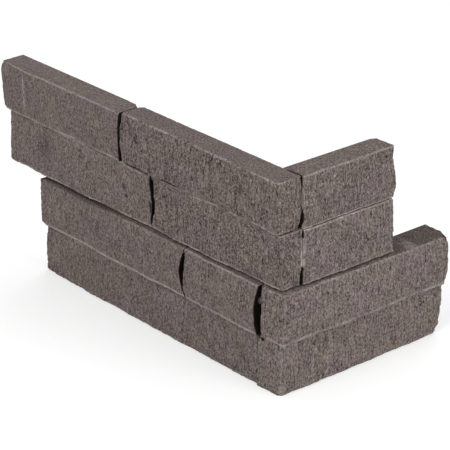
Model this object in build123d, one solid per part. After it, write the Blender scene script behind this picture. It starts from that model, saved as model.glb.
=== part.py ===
from build123d import *
import os
from dataclasses import dataclass
from math import ceil, pi, sin, sqrt

# A corner piece of interlocking stone cladding, four courses high, standing on its sawn foot.
# The outside corner of a wall goes into the inner angle. The origin is the foot of that angle.
# The long arm runs along -X with its back on y = 0 and its split face towards -Y.
# The return arm runs along +Y with its back on x = 0 and its split face towards +X.
# All sizes are in millimetres.

# Height of each course, and of the beds between them
BASE_RISE = 38.1
LOWER_RISE = 36.6
UPPER_RISE = 39.7
TOP_RISE = 36.4
TIGHT_BED = 0.2
OPEN_BED = 1.2

# How far each course reaches from the inner angle, along the long arm
BASE_REACH = 238.6
LOWER_REACH = 239.2
UPPER_REACH = 277.9
TOP_REACH = 283.0

# How far each course reaches from the inner angle, along the return arm
BASE_RETURN = 131.3
LOWER_RETURN = 133.2
UPPER_RETURN = 81.3
TOP_RETURN = 82.3

# Depth of each course from its back to its split face, on the long arm
BASE_DEPTH = 16.0
LOWER_DEPTH = 19.2
UPPER_DEPTH = 16.4
TOP_DEPTH = 18.8

# Depth of each course from its back to its split face, on the return arm
BASE_RETURN_DEPTH = 18.7
LOWER_RETURN_DEPTH = 23.0
UPPER_RETURN_DEPTH = 20.4
TOP_RETURN_DEPTH = 18.8

# Distance of each upright joint of the long face from the inner angle
TOP_JOINT = 146.2
UPPER_JOINT = 114.2
LOWER_JOINT = 77.5

# How far short of the inner angle each butting stone stops
TOP_CORNER_GAP = 0.8
UPPER_CORNER_GAP = 0.8
LOWER_CORNER_GAP = 4.6
BASE_CORNER_GAP = 4.6

# How far past its arm's back a stone that runs round the corner is left thick, beyond the angle
TOP_HEEL = 0.5
UPPER_HEEL = 0.3
BASE_HEEL = 4.2

# Width of an upright joint on the long face where its two stones come closest
CLOSE_GAP = 0.3

# How far a stone's end stands back from the split face of the arm that it shows on
TOP_END_BACK = 0.6
UPPER_END_BACK = 1.0
LOWER_END_BACK = 1.0
BASE_END_BACK = -0.6

# Form of a split face: a crown, long and short swells, and worn arrises along the beds
CROWN = 0.5
LONG_SWELL = 0.35
LONG_SWELL_RUN = 47.0
LONG_SWELL_RISE = 61.0
SHORT_SWELL = 0.22
SHORT_SWELL_RUN = 31.0
SHORT_SWELL_RISE = 37.0
STATION_RUN = 15.0
FACE_STEPS = 5
HEAD_ARRIS_WIDTH = 1.4
HEAD_ARRIS_TURN = 0.5
FOOT_ARRIS_WIDTH = 0.9
FOOT_ARRIS_TURN = 0.35
ARRIS_WEAR = 0.3
ARRIS_WEAR_RUN = 43.0
ARRIS_WEAR_RISE = 17.0
ARRIS_CUT = 0.15
CORNER_BREAK = 0.3

# Resin: how far it stays behind the split faces, the ends and the backs
TIGHT_RAKE = 2.5
OPEN_RAKE = 6.0
END_RAKE = 6.0
BACK_RAKE = 0.8
BUTT_RAKE = 8.5
FLUSH_RAKE = 0.8
BUTT_FOOT = 1.0
SMEAR_HEIGHT = 13.5

# Oversize of the shapes that are cut to the outline of a stone
SPARE = 6.0


@dataclass
class Stone:
    """One stone, drawn as if it lay in the long arm, with start as its left end from the front.

    waves holds, for stations spread evenly from start to stop, how far the split face stands
    out from depth at the foot, at mid height and at the head. The bites say how far a broken
    end falls short of its line, at heights spread evenly from the foot to the head. heel is how
    far the stone's back stands past its arm's, beyond the inner angle.
    """

    start: float
    stop: float
    foot: float
    rise: float
    depth: float
    waves: tuple
    start_bite: tuple
    stop_bite: tuple
    heel: float = 0.0
    on_return: bool = False


def between(values, share):
    """The value at a share of the way along evenly spread values, from 0 to 1."""
    place = min(max(share, 0), 1) * (len(values) - 1)
    i = min(int(place), len(values) - 2)
    return values[i] + (values[i + 1] - values[i]) * (place - i)


def face_depth(stone, x, z):
    """How far the split face stands from the stone's back at x and height z."""
    along = (x - stone.start) / (stone.stop - stone.start)
    up = (z - stone.foot) / stone.rise
    wave = between([between(level, along) for level in zip(*stone.waves)], up)
    long_swell = sin(2 * pi * (x / LONG_SWELL_RUN + z / LONG_SWELL_RISE))
    short_swell = sin(2 * pi * (x / SHORT_SWELL_RUN - z / SHORT_SWELL_RISE))
    crown = CROWN * sin(pi * min(max(up, 0), 1))
    return stone.depth + wave + crown + LONG_SWELL * long_swell + SHORT_SWELL * short_swell


def face_section(stone, x):
    """The upright section of a stone at x, with its worn arrises and its uneven face."""
    low = stone.foot - ARRIS_CUT
    high = stone.foot + stone.rise + ARRIS_CUT
    head_wear = ARRIS_WEAR * sin(2 * pi * (x / ARRIS_WEAR_RUN + high / ARRIS_WEAR_RISE))
    foot_wear = ARRIS_WEAR * sin(2 * pi * (x / ARRIS_WEAR_RUN + low / ARRIS_WEAR_RISE))
    head_width = HEAD_ARRIS_WIDTH + head_wear
    foot_width = FOOT_ARRIS_WIDTH + foot_wear
    head_depth = face_depth(stone, x, high)
    foot_depth = face_depth(stone, x, low)
    step = (high - head_width - low - foot_width) / FACE_STEPS
    heights = [high - head_width - i * step for i in range(FACE_STEPS + 1)]
    outline = [
        (FOOT_ARRIS_TURN - foot_depth, low + FOOT_ARRIS_TURN),
        (foot_width - foot_depth, low),
        (SPARE, low),
        (SPARE, high),
        (head_width - head_depth, high),
        (HEAD_ARRIS_TURN - head_depth, high - HEAD_ARRIS_TURN),
        *[(-face_depth(stone, x, z), z) for z in heights],
    ]
    return Face(Wire(Polyline(*[(x, y, z) for y, z in outline], close=True)))


def split_form(stone):
    """The split face and its arrises, ruled between stations spread along the stone."""
    first = stone.start - SPARE
    run = stone.stop + SPARE - first
    count = ceil(run / STATION_RUN)
    sections = [face_section(stone, first + i * run / count) for i in range(count + 1)]
    return loft(sections, ruled=True)


def end_points(stone, at_start):
    """The points up one broken end of the stone, from its foot to its head."""
    line, bite, side = (
        (stone.start, stone.start_bite, 1) if at_start else (stone.stop, stone.stop_bite, -1)
    )
    step = stone.rise / (len(bite) - 1)
    return [(line + side * b, stone.foot + i * step) for i, b in enumerate(bite)]


def sawn_form(stone):
    """The stone's outline from the front, sawn flat at the beds and broken at its ends."""
    left = [(x, SPARE, z) for x, z in end_points(stone, True)]
    right = [(x, SPARE, z) for x, z in end_points(stone, False)]
    outline = Face(Wire(Polyline(*left, *reversed(right), close=True)))
    return extrude(outline, amount=stone.depth + 3 * SPARE, dir=(0, -1, 0))


def leaning_form(stone, at_start):
    """All that a plane cut leaves that leans in at 45 degrees and breaks one front arris."""
    side = 1 if at_start else -1
    points = end_points(stone, at_start)
    middle_x, middle_z = points[len(points) // 2]
    reach = face_depth(stone, middle_x, middle_z) - CORNER_BREAK + SPARE
    far = stone.stop + SPARE if at_start else stone.start - SPARE
    near = [(x - side * reach, SPARE, z) for x, z in points]
    outline = Polyline(*near, (far, SPARE, near[-1][2]), (far, SPARE, near[0][2]), close=True)
    run = (stone.depth + 3 * SPARE) * sqrt(2)
    return extrude(Face(Wire(outline)), amount=run, dir=(side, -1, 0))


def back_waste(stone):
    """What the saw takes off the back, but for the heel beyond the inner angle."""
    low, high = stone.foot - SPARE, stone.foot + stone.rise + SPARE
    left, right = stone.start - SPARE, stone.stop + SPARE
    if not stone.heel:
        return block((left, 0, low), (right, 2 * SPARE, high))
    if stone.on_return:
        left, right = right, left
    past = block((min(0, right), stone.heel, low), (max(0, right), 2 * SPARE, high))
    return past + block((min(0, left), 0, low), (max(0, left), 2 * SPARE, high))


def block(low, high):
    """A plain block between two opposite corners."""
    size = [b - a for a, b in zip(low, high)]
    return Pos(*low) * Box(*size, align=(Align.MIN, Align.MIN, Align.MIN))


def knock_off(part, a, b, c):
    """Breaks the part along the plane through three points and keeps the larger side."""
    a, b, c = Vector(*a), Vector(*b), Vector(*c)
    normal = (b - a).cross(c - a)
    if normal.dot(part.center() - a) < 0:
        normal = -normal
    return split(part, bisect_by=Plane(origin=a, x_dir=b - a, z_dir=normal), keep=Keep.TOP)


def cut(stone):
    """The stone as a solid in the long arm's frame."""
    part = split_form(stone) & sawn_form(stone)
    for at_start in (True, False):
        part = part & leaning_form(stone, at_start)
    return part - back_waste(stone)


def place(part, stone):
    """Turns a stone of the return arm round the inner angle into its own arm."""
    return Rot(0, 0, 90) * part if stone.on_return else part


# Heights of the beds
LOWER_FOOT = BASE_RISE + TIGHT_BED
UPPER_FOOT = LOWER_FOOT + LOWER_RISE + OPEN_BED
TOP_FOOT = UPPER_FOOT + UPPER_RISE + TIGHT_BED
TOP_HEAD = TOP_FOOT + TOP_RISE

STONES = {
    "top_end_stone": Stone(
        start=-TOP_REACH,
        stop=-TOP_JOINT - CLOSE_GAP / 2,
        foot=TOP_FOOT,
        rise=TOP_RISE,
        depth=TOP_DEPTH,
        waves=((-0.6, 0.4, 1.0), (0.4, 0.0, 1.2), (-0.4, 0.9, 0.6), (-0.8, -0.3, 1.0), (0.2, 0.5, 0.6)),
        start_bite=(2.4, 0.3, -0.5, -1.3, 1.2),
        stop_bite=(-0.25, 0.1, 0.05, -0.25, -0.35, -1.05, -1.9),
    ),
    "top_corner_stone": Stone(
        start=-TOP_JOINT + CLOSE_GAP / 2,
        stop=TOP_RETURN_DEPTH - TOP_END_BACK,
        foot=TOP_FOOT,
        rise=TOP_RISE,
        depth=TOP_DEPTH,
        waves=((0.2, -0.9, -1.6), (0.4, -0.2, -1.4), (-0.6, -0.9, -1.2), (-0.2, 0.6, 0.2), (0.2, -0.2, 0.6)),
        start_bite=(3.5, 1.45, 0.95, 0.55, 0.35, 1.85, 2.1),
        stop_bite=(0.7, 0.4, 0.2, 0.0, 0.2),
        heel=TOP_HEEL,
    ),
    "top_return_stone": Stone(
        start=TOP_CORNER_GAP,
        stop=TOP_RETURN,
        foot=TOP_FOOT,
        rise=TOP_RISE,
        depth=TOP_RETURN_DEPTH,
        waves=((1.6, 0.6, 0.2), (1.2, 1.2, 0.0), (1.5, 0.4, 0.3), (1.0, 0.8, -0.8)),
        start_bite=(0.0, 0.4, 0.2, 0.0, 0.0),
        stop_bite=(0.6, -1.6, 0.4, 1.4, 0.4),
        on_return=True,
    ),
    "upper_end_stone": Stone(
        start=-UPPER_REACH,
        stop=-UPPER_JOINT - CLOSE_GAP / 2,
        foot=UPPER_FOOT,
        rise=UPPER_RISE,
        depth=UPPER_DEPTH,
        waves=((0.2, -0.5, 0.4), (1.0, 0.6, 0.2), (1.2, 0.2, 0.6), (0.2, 0.9, 0.2), (-0.6, 0.0, 0.3)),
        start_bite=(-1.4, -0.9, -0.6, 0.2, 0.8),
        stop_bite=(0.35, 1.05, -1.15, -1.25, -0.45, 0.95, 0.55),
    ),
    "upper_corner_stone": Stone(
        start=-UPPER_JOINT + CLOSE_GAP / 2,
        stop=UPPER_RETURN_DEPTH - UPPER_END_BACK,
        foot=UPPER_FOOT,
        rise=UPPER_RISE,
        depth=UPPER_DEPTH,
        waves=((-0.6, 0.3, 0.2), (0.8, -0.2, 0.4), (0.4, 0.8, 0.3), (-0.6, 0.1, 0.0), (-1.2, -0.5, 0.6)),
        start_bite=(-0.4, 0.55, 3.75, 4.45, 3.55, 3.35, -0.4),
        stop_bite=(1.6, 0.6, 0.0, 0.2, 0.4),
        heel=UPPER_HEEL,
    ),
    "upper_return_stone": Stone(
        start=UPPER_CORNER_GAP,
        stop=UPPER_RETURN,
        foot=UPPER_FOOT,
        rise=UPPER_RISE,
        depth=UPPER_RETURN_DEPTH,
        waves=((-1.2, -0.4, 0.2), (0.2, 0.7, 0.4), (0.0, -0.2, 0.4), (0.2, 0.5, 0.0)),
        start_bite=(0.45, 0.35, 0.45, 0.0, -0.1),
        stop_bite=(-1.0, 0.8, 0.2, 0.5, 0.9),
        on_return=True,
    ),
    "lower_end_stone": Stone(
        start=-LOWER_REACH,
        stop=-LOWER_JOINT - CLOSE_GAP / 2,
        foot=LOWER_FOOT,
        rise=LOWER_RISE,
        depth=LOWER_DEPTH,
        waves=((0.8, 0.2, -0.6), (-1.0, -0.6, -0.2), (0.6, 0.4, 0.0), (0.3, -0.3, -0.2), (-0.2, 0.5, -0.4)),
        start_bite=(-0.1, -0.2, 0.0, 0.3, 0.0),
        stop_bite=(-2.3, 0.85, 2.65, 4.05, 2.45, 0.75, -0.4),
    ),
    "lower_inner_stone": Stone(
        start=-LOWER_JOINT + CLOSE_GAP / 2,
        stop=-LOWER_CORNER_GAP,
        foot=LOWER_FOOT,
        rise=LOWER_RISE,
        depth=LOWER_DEPTH,
        waves=((-0.2, -0.5, -0.4), (0.2, 0.5, 0.0), (0.6, 0.0, -0.2)),
        start_bite=(2.3, -0.35, -0.75, 0.25, 0.95, 1.45, 0.35),
        stop_bite=(-3.1, -0.5, -0.1, 0.35, -0.5, -2.3, -4.0),
    ),
    "lower_return_stone": Stone(
        start=-LOWER_DEPTH + LOWER_END_BACK,
        stop=LOWER_RETURN,
        foot=LOWER_FOOT,
        rise=LOWER_RISE,
        depth=LOWER_RETURN_DEPTH,
        waves=(
            (0.0, 0.3, -0.4), (-0.8, -0.4, -0.6), (0.9, 0.4, 0.2),
            (0.4, -0.3, 0.3), (-0.8, 0.4, 0.2), (0.4, 0.0, 0.4),
        ),
        start_bite=(0.2, -0.2, 0.0, 0.3, 0.8),
        stop_bite=(3.0, 0.6, 0.4, 0.2, 0.4),
        on_return=True,
    ),
    "base_face_stone": Stone(
        start=-BASE_REACH,
        stop=-BASE_CORNER_GAP,
        foot=0,
        rise=BASE_RISE,
        depth=BASE_DEPTH,
        waves=(
            (-1.2, -0.4, -0.6), (0.4, 0.6, 0.2), (0.2, -0.3, 0.4),
            (0.3, 0.5, -0.2), (0.0, -0.4, 0.2), (-0.2, 0.2, 0.0),
        ),
        start_bite=(-2.0, -0.6, 0.2, 0.8, 1.2),
        stop_bite=(0.0, 1.2, 0.0, 0.0, 0.1),
    ),
    "base_return_stone": Stone(
        start=-BASE_DEPTH + BASE_END_BACK,
        stop=BASE_RETURN,
        foot=0,
        rise=BASE_RISE,
        depth=BASE_RETURN_DEPTH,
        waves=((0.0, 0.4, 0.2), (0.0, -0.4, -0.4), (0.1, 0.5, 0.6), (0.0, -0.2, 0.2), (-0.2, 0.3, 0.2)),
        start_bite=(0.2, 0.0, 0.2, 0.4, 0.6),
        stop_bite=(1.8, 1.0, 0.3, -0.1, -0.4),
        on_return=True,
        heel=BASE_HEEL,
    ),
}

# Size of the fracture facet on the left end of the top course, and of the other broken corners
FACET_LENGTH = 26.0
FACET_HEAD = 1.2
FACET_FOOT = 1.2
NOSE_CHIP = 5.2
NOSE_CHIP_DEPTH = 2.6
JOINT_CHIP = 4.4
BACK_CHIP = 5.0
BACK_CHIP_DEPTH = 2.5
END_CHIP = 1.2
END_CHIP_FOOT = 0.4
LOW_CHIP = 6.2
LOW_CHIP_RISE = 2.0
HIGH_CHIP = 7.0
HIGH_CHIP_DROP = 1.2
BASE_CHIP = 3.4
BASE_CHIP_RISE = 11.0
JOINT_NICK = 3.0
JOINT_NICK_DEPTH = 1.4
JOINT_NICK_DROP = 5.0
CORNER_SPALL = 1.6
SPALL_LENGTH = 7.8
SPALL_HEIGHT = 11.0
END_SPALL = 1.2
END_SPALL_LENGTH = 6.0


def fracture_top_end(part, stone):
    """The oblique facet at the free end, and the chip at the back of its upright joint."""
    front = -(stone.depth + stone.waves[0][2])
    head = stone.foot + stone.rise
    arris = stone.start + FACET_LENGTH
    part = knock_off(
        part,
        (arris, front, head),
        (stone.start, front + FACET_HEAD, head),
        (stone.start, front + FACET_FOOT, stone.foot),
    )
    return knock_off(
        part,
        (stone.stop, -JOINT_CHIP, head),
        (stone.stop - JOINT_CHIP, 0, head),
        (stone.stop, 0, head - JOINT_CHIP),
    )


def fracture_top_corner(part, stone):
    """The chipped nose at the outer corner, the chips at both joints and the spall at the foot."""
    front = -(stone.depth + stone.waves[-1][2])
    head = stone.foot + stone.rise
    part = knock_off(
        part,
        (stone.stop - NOSE_CHIP, front, head),
        (stone.stop, front + NOSE_CHIP_DEPTH, head),
        (stone.stop, front, head - NOSE_CHIP),
    )
    part = knock_off(
        part,
        (stone.start, -JOINT_CHIP, head),
        (stone.start + JOINT_CHIP, 0, head),
        (stone.start, 0, head - JOINT_CHIP),
    )
    part = knock_off(
        part,
        (stone.stop - JOINT_NICK, stone.heel, head),
        (stone.stop, stone.heel - JOINT_NICK_DEPTH, head),
        (stone.stop, stone.heel, head - JOINT_NICK_DROP),
    )
    return knock_off(
        part,
        (stone.stop, -CORNER_SPALL, stone.foot),
        (stone.stop - SPALL_LENGTH, stone.heel, stone.foot),
        (stone.stop, stone.heel, stone.foot + SPALL_HEIGHT),
    )


def fracture_top_return(part, stone):
    """The corner broken off the back of the free end."""
    head = stone.foot + stone.rise
    return knock_off(
        part,
        (stone.stop, -BACK_CHIP_DEPTH, head),
        (stone.stop - BACK_CHIP, 0, head),
        (stone.stop, 0, stone.foot),
    )


def fracture_lower_end(part, stone):
    """The corners broken off the foot and the head of the free end."""
    front = -stone.depth
    head = stone.foot + stone.rise
    part = knock_off(
        part,
        (stone.start, front, stone.foot + LOW_CHIP_RISE),
        (stone.start + LOW_CHIP, front, stone.foot),
        (stone.start + LOW_CHIP, 0, stone.foot),
    )
    return knock_off(
        part,
        (stone.start, front, head - HIGH_CHIP_DROP),
        (stone.start + HIGH_CHIP, front, head),
        (stone.start, 0, head),
    )


def fracture_lower_return(part, stone):
    """The end's spalled wall-side arris, and the rounded shoulder of the free end."""
    front = -(stone.depth + stone.waves[-1][2])
    head = stone.foot + stone.rise
    part = knock_off(
        part,
        (stone.start, -END_SPALL, stone.foot),
        (stone.start, -END_SPALL, head),
        (stone.start + END_SPALL_LENGTH, 0, stone.foot),
    )
    return knock_off(
        part,
        (stone.stop - END_CHIP, front, head),
        (stone.stop, front + END_CHIP, head),
        (stone.stop, front + END_CHIP_FOOT, stone.foot),
    )


def fracture_base_return(part, stone):
    """The broken foot of the outer corner."""
    front = -(stone.depth + stone.waves[0][0])
    return knock_off(
        part,
        (stone.start + BASE_CHIP, front, stone.foot),
        (stone.start, front + BASE_CHIP, stone.foot),
        (stone.start, front, stone.foot + BASE_CHIP_RISE),
    )


FRACTURES = {
    "top_end_stone": fracture_top_end,
    "top_corner_stone": fracture_top_corner,
    "top_return_stone": fracture_top_return,
    "lower_end_stone": fracture_lower_end,
    "lower_return_stone": fracture_lower_return,
    "base_return_stone": fracture_base_return,
}


def make_stone(name):
    """Cuts, breaks and places one stone."""
    stone = STONES[name]
    part = cut(stone)
    if name in FRACTURES:
        part = FRACTURES[name](part, stone)
    return place(part, stone)


def bed_resin(below, below_return, above, above_return, rake):
    """The L of resin on the bed between two courses, kept inside the stones above and below."""
    foot = below.foot + below.rise
    left = max(below.start, above.start) + END_RAKE
    front = -min(below.depth, above.depth) + rake
    right = min(below_return.depth, above_return.depth) - rake
    far = min(below_return.stop, above_return.stop) - END_RAKE
    corners = [
        (left, -BACK_RAKE, foot),
        (left, front, foot),
        (right, front, foot),
        (right, far, foot),
        (BACK_RAKE, far, foot),
        (BACK_RAKE, -BACK_RAKE, foot),
    ]
    outline = Face(Wire(Polyline(*corners, close=True)))
    return extrude(outline, amount=above.foot - foot, dir=(0, 0, 1))


def butt_resin(windows, stones):
    """Resin in an upright joint: what the blocks leave between the stones on each side."""
    fill = block(*windows[0])
    for low, high in windows[1:]:
        fill = fill + block(low, high)
    for stone in stones:
        fill = fill - stone
    return fill


def face_joint_window(left, right):
    """The space that resin takes behind an upright joint of the long face."""
    low = (left.stop - SPARE, -left.depth + BUTT_RAKE, left.foot + BUTT_FOOT)
    high = (right.start + SPARE, -BACK_RAKE, left.foot + left.rise - JOINT_CHIP)
    return low, high


def make_resin(solids):
    """Every bed and butt joint of resin, by name."""
    s = STONES
    resin = {
        "base_bed_resin": bed_resin(
            s["base_face_stone"], s["base_return_stone"],
            s["lower_end_stone"], s["lower_return_stone"], TIGHT_RAKE,
        ),
        "middle_bed_resin": bed_resin(
            s["lower_end_stone"], s["lower_return_stone"],
            s["upper_end_stone"], s["upper_return_stone"], OPEN_RAKE,
        ),
        "top_bed_resin": bed_resin(
            s["upper_end_stone"], s["upper_return_stone"],
            s["top_end_stone"], s["top_return_stone"], TIGHT_RAKE,
        ),
    }
    for node, left, right in (
        ("top_face_joint_resin", "top_end_stone", "top_corner_stone"),
        ("upper_face_joint_resin", "upper_end_stone", "upper_corner_stone"),
        ("lower_face_joint_resin", "lower_end_stone", "lower_inner_stone"),
    ):
        window = face_joint_window(s[left], s[right])
        resin[node] = butt_resin([window], [solids[left], solids[right]])

    top_face = TOP_RETURN_DEPTH - TOP_END_BACK
    resin["top_corner_joint_resin"] = butt_resin(
        [(
            (BACK_RAKE, -CORNER_SPALL, TOP_FOOT + SPALL_HEIGHT),
            (top_face - FLUSH_RAKE, TOP_CORNER_GAP + SPARE, TOP_HEAD - JOINT_NICK_DROP),
        )],
        [solids["top_corner_stone"], solids["top_return_stone"]],
    )
    upper_head = UPPER_FOOT + UPPER_RISE
    upper_face = UPPER_RETURN_DEPTH - UPPER_END_BACK
    resin["upper_corner_joint_resin"] = butt_resin(
        [
            (
                (BACK_RAKE, -BACK_RAKE, UPPER_FOOT + BUTT_FOOT),
                (upper_face - BUTT_RAKE, UPPER_CORNER_GAP + SPARE, upper_head - BUTT_FOOT),
            ),
            (
                (BACK_RAKE, -BACK_RAKE, UPPER_FOOT + SMEAR_HEIGHT),
                (upper_face - FLUSH_RAKE, UPPER_CORNER_GAP + SPARE, upper_head - BUTT_FOOT),
            ),
        ],
        [solids["upper_corner_stone"], solids["upper_return_stone"]],
    )
    lower_head = LOWER_FOOT + LOWER_RISE
    resin["lower_corner_joint_resin"] = butt_resin(
        [(
            (-LOWER_CORNER_GAP - SPARE, -LOWER_DEPTH + BUTT_RAKE, LOWER_FOOT + BUTT_FOOT),
            (SPARE, -BACK_RAKE, lower_head - BUTT_FOOT),
        )],
        [solids["lower_inner_stone"], solids["lower_return_stone"]],
    )
    resin["base_corner_joint_resin"] = butt_resin(
        [(
            (-BASE_CORNER_GAP - SPARE, -BASE_DEPTH + FLUSH_RAKE, BUTT_FOOT),
            (SPARE, -BACK_RAKE, BASE_RISE - BUTT_FOOT),
        )],
        [solids["base_face_stone"], solids["base_return_stone"]],
    )
    return resin


os.makedirs("parts", exist_ok=True)
stones = {name: make_stone(name) for name in STONES}
pieces = {**stones, **make_resin(stones)}
for name, piece in pieces.items():
    export_step(piece, f"parts/{name}.step")
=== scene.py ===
"""The looks of a corner piece of interlocking stone cladding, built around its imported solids.

Every stone is rebuilt finely from its own solid, and seeded noise gives it its split relief, saw
marks and chips. Dents add the marks that have a place of their own. The resin fills of the joints
get lumps. Lengths are in millimetres where nothing else is said. The frame is the solids' own:
the long arm runs along -X and the return arm along +Y.
"""

import logging
import math
from collections.abc import Mapping, Sequence
from dataclasses import dataclass, field
from enum import Enum
from typing import Union

import bpy
import numpy as np
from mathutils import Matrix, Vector


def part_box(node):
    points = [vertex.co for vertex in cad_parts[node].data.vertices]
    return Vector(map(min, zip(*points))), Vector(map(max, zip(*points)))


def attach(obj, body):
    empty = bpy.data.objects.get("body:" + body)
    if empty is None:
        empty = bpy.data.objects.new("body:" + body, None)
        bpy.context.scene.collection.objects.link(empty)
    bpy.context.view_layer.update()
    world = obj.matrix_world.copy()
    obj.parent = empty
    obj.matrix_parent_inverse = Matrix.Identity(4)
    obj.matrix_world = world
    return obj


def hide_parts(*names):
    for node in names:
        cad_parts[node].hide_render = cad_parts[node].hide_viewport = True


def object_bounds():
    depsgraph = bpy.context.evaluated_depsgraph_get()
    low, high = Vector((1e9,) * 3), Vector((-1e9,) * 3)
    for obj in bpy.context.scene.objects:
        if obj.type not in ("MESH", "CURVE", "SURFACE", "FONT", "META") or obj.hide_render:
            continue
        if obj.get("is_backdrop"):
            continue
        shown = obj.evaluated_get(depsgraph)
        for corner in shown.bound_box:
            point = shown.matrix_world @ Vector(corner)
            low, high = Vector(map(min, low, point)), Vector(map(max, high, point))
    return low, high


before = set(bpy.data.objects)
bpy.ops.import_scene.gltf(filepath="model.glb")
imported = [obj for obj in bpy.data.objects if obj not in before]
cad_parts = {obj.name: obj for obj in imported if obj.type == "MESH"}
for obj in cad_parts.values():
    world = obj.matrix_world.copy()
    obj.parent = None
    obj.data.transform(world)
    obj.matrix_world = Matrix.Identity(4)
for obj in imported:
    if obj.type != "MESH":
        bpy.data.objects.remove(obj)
MM = 0.001
BODY = "root"
log = logging.getLogger("stone_corner")

# Multipliers and shifts that scatter whole numbers into random values
SEED_STEP = 9781
CHANNEL_STEP = 6271
SALT_STEP = np.uint32(3266489917)
CELL_STEPS = (np.uint32(374761393), np.uint32(668265263), np.uint32(2246822519))
STIRS = ((np.uint32(13), np.uint32(1274126177)), (np.uint32(15), np.uint32(2654435761)))
LAST_SHIFT = np.uint32(16)
LARGEST = 0xFFFFFFFF


class Arm(Enum):
    """The arm whose split face a stone carries. The value is the way its sawn back looks."""

    LONG = (0.0, 1.0, 0.0)
    RETURN = (-1.0, 0.0, 0.0)


class Bonded(Enum):
    """The end of a stone that butts on another. The value is its direction along the arm."""

    START = -1.0
    STOP = 1.0


class Slot(Enum):
    """The record's material slots."""

    STONE = "stone"
    RESIN = "bonding_resin"


Colour = tuple[float, float, float]
Point = tuple[float, float, float]
Band = tuple[float, float]


@dataclass(frozen=True)
class Pattern:
    """The make-up of one kind of noise: the coarsest cells, and how many layers it has."""

    channel: int
    cell: Point
    layers: int = 1


class Noise(Enum):
    """The kinds of noise that shape and mark a piece."""

    SWELL = Pattern(1, (16.0, 16.0, 13.0), 2)
    LUMP = Pattern(3, (2.2, 2.2, 4.0), 2)
    STREAK = Pattern(10, (2.3, 2.3, 13.0), 2)
    ZONE = Pattern(20, (34.0, 34.0, 40.0))
    FINE = Pattern(25, (2.1, 2.1, 2.4), 2)
    CHIP = Pattern(40, (4.2, 4.2, 4.2), 2)
    NICK = Pattern(45, (9.0, 9.0, 5.0), 2)
    LINE = Pattern(48, (12.0, 12.0, 12.0))
    DOT = Pattern(49, (2.6, 2.6, 2.6))
    ARC = Pattern(50, (30.0, 30.0, 30.0))
    RAGGED = Pattern(52, (1.8, 1.8, 2.6))
    SAW = Pattern(55, (3.0, 3.0, 3.0), 2)
    LEDGE = Pattern(60, (5.0, 5.0, 5.0), 2)


@dataclass(frozen=True)
class Spots:
    """The make-up of one kind of scattered spots. A squash under 1 draws them out."""

    channel: int
    spacing: float
    squash: Point


class Scatter(Enum):
    """The kinds of spots on a split face."""

    FLAKE = Spots(30, 7.5, (1.0, 1.0, 0.6))
    PIT = Spots(35, 3.6, (1.0, 1.0, 0.7))


def smoothstep(low: float, high: float, values: np.ndarray) -> np.ndarray:
    """Rises smoothly from 0 at low to 1 at high.

    Args:
        low: The value where the rise starts.
        high: The value where it ends. It may be less than low, for a fall.
        values: The values to grade.

    Returns:
        A share from 0 to 1 for each value.
    """
    share = np.clip((values - low) / (high - low), 0.0, 1.0)
    return share * share * (3.0 - 2.0 * share)


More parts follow.
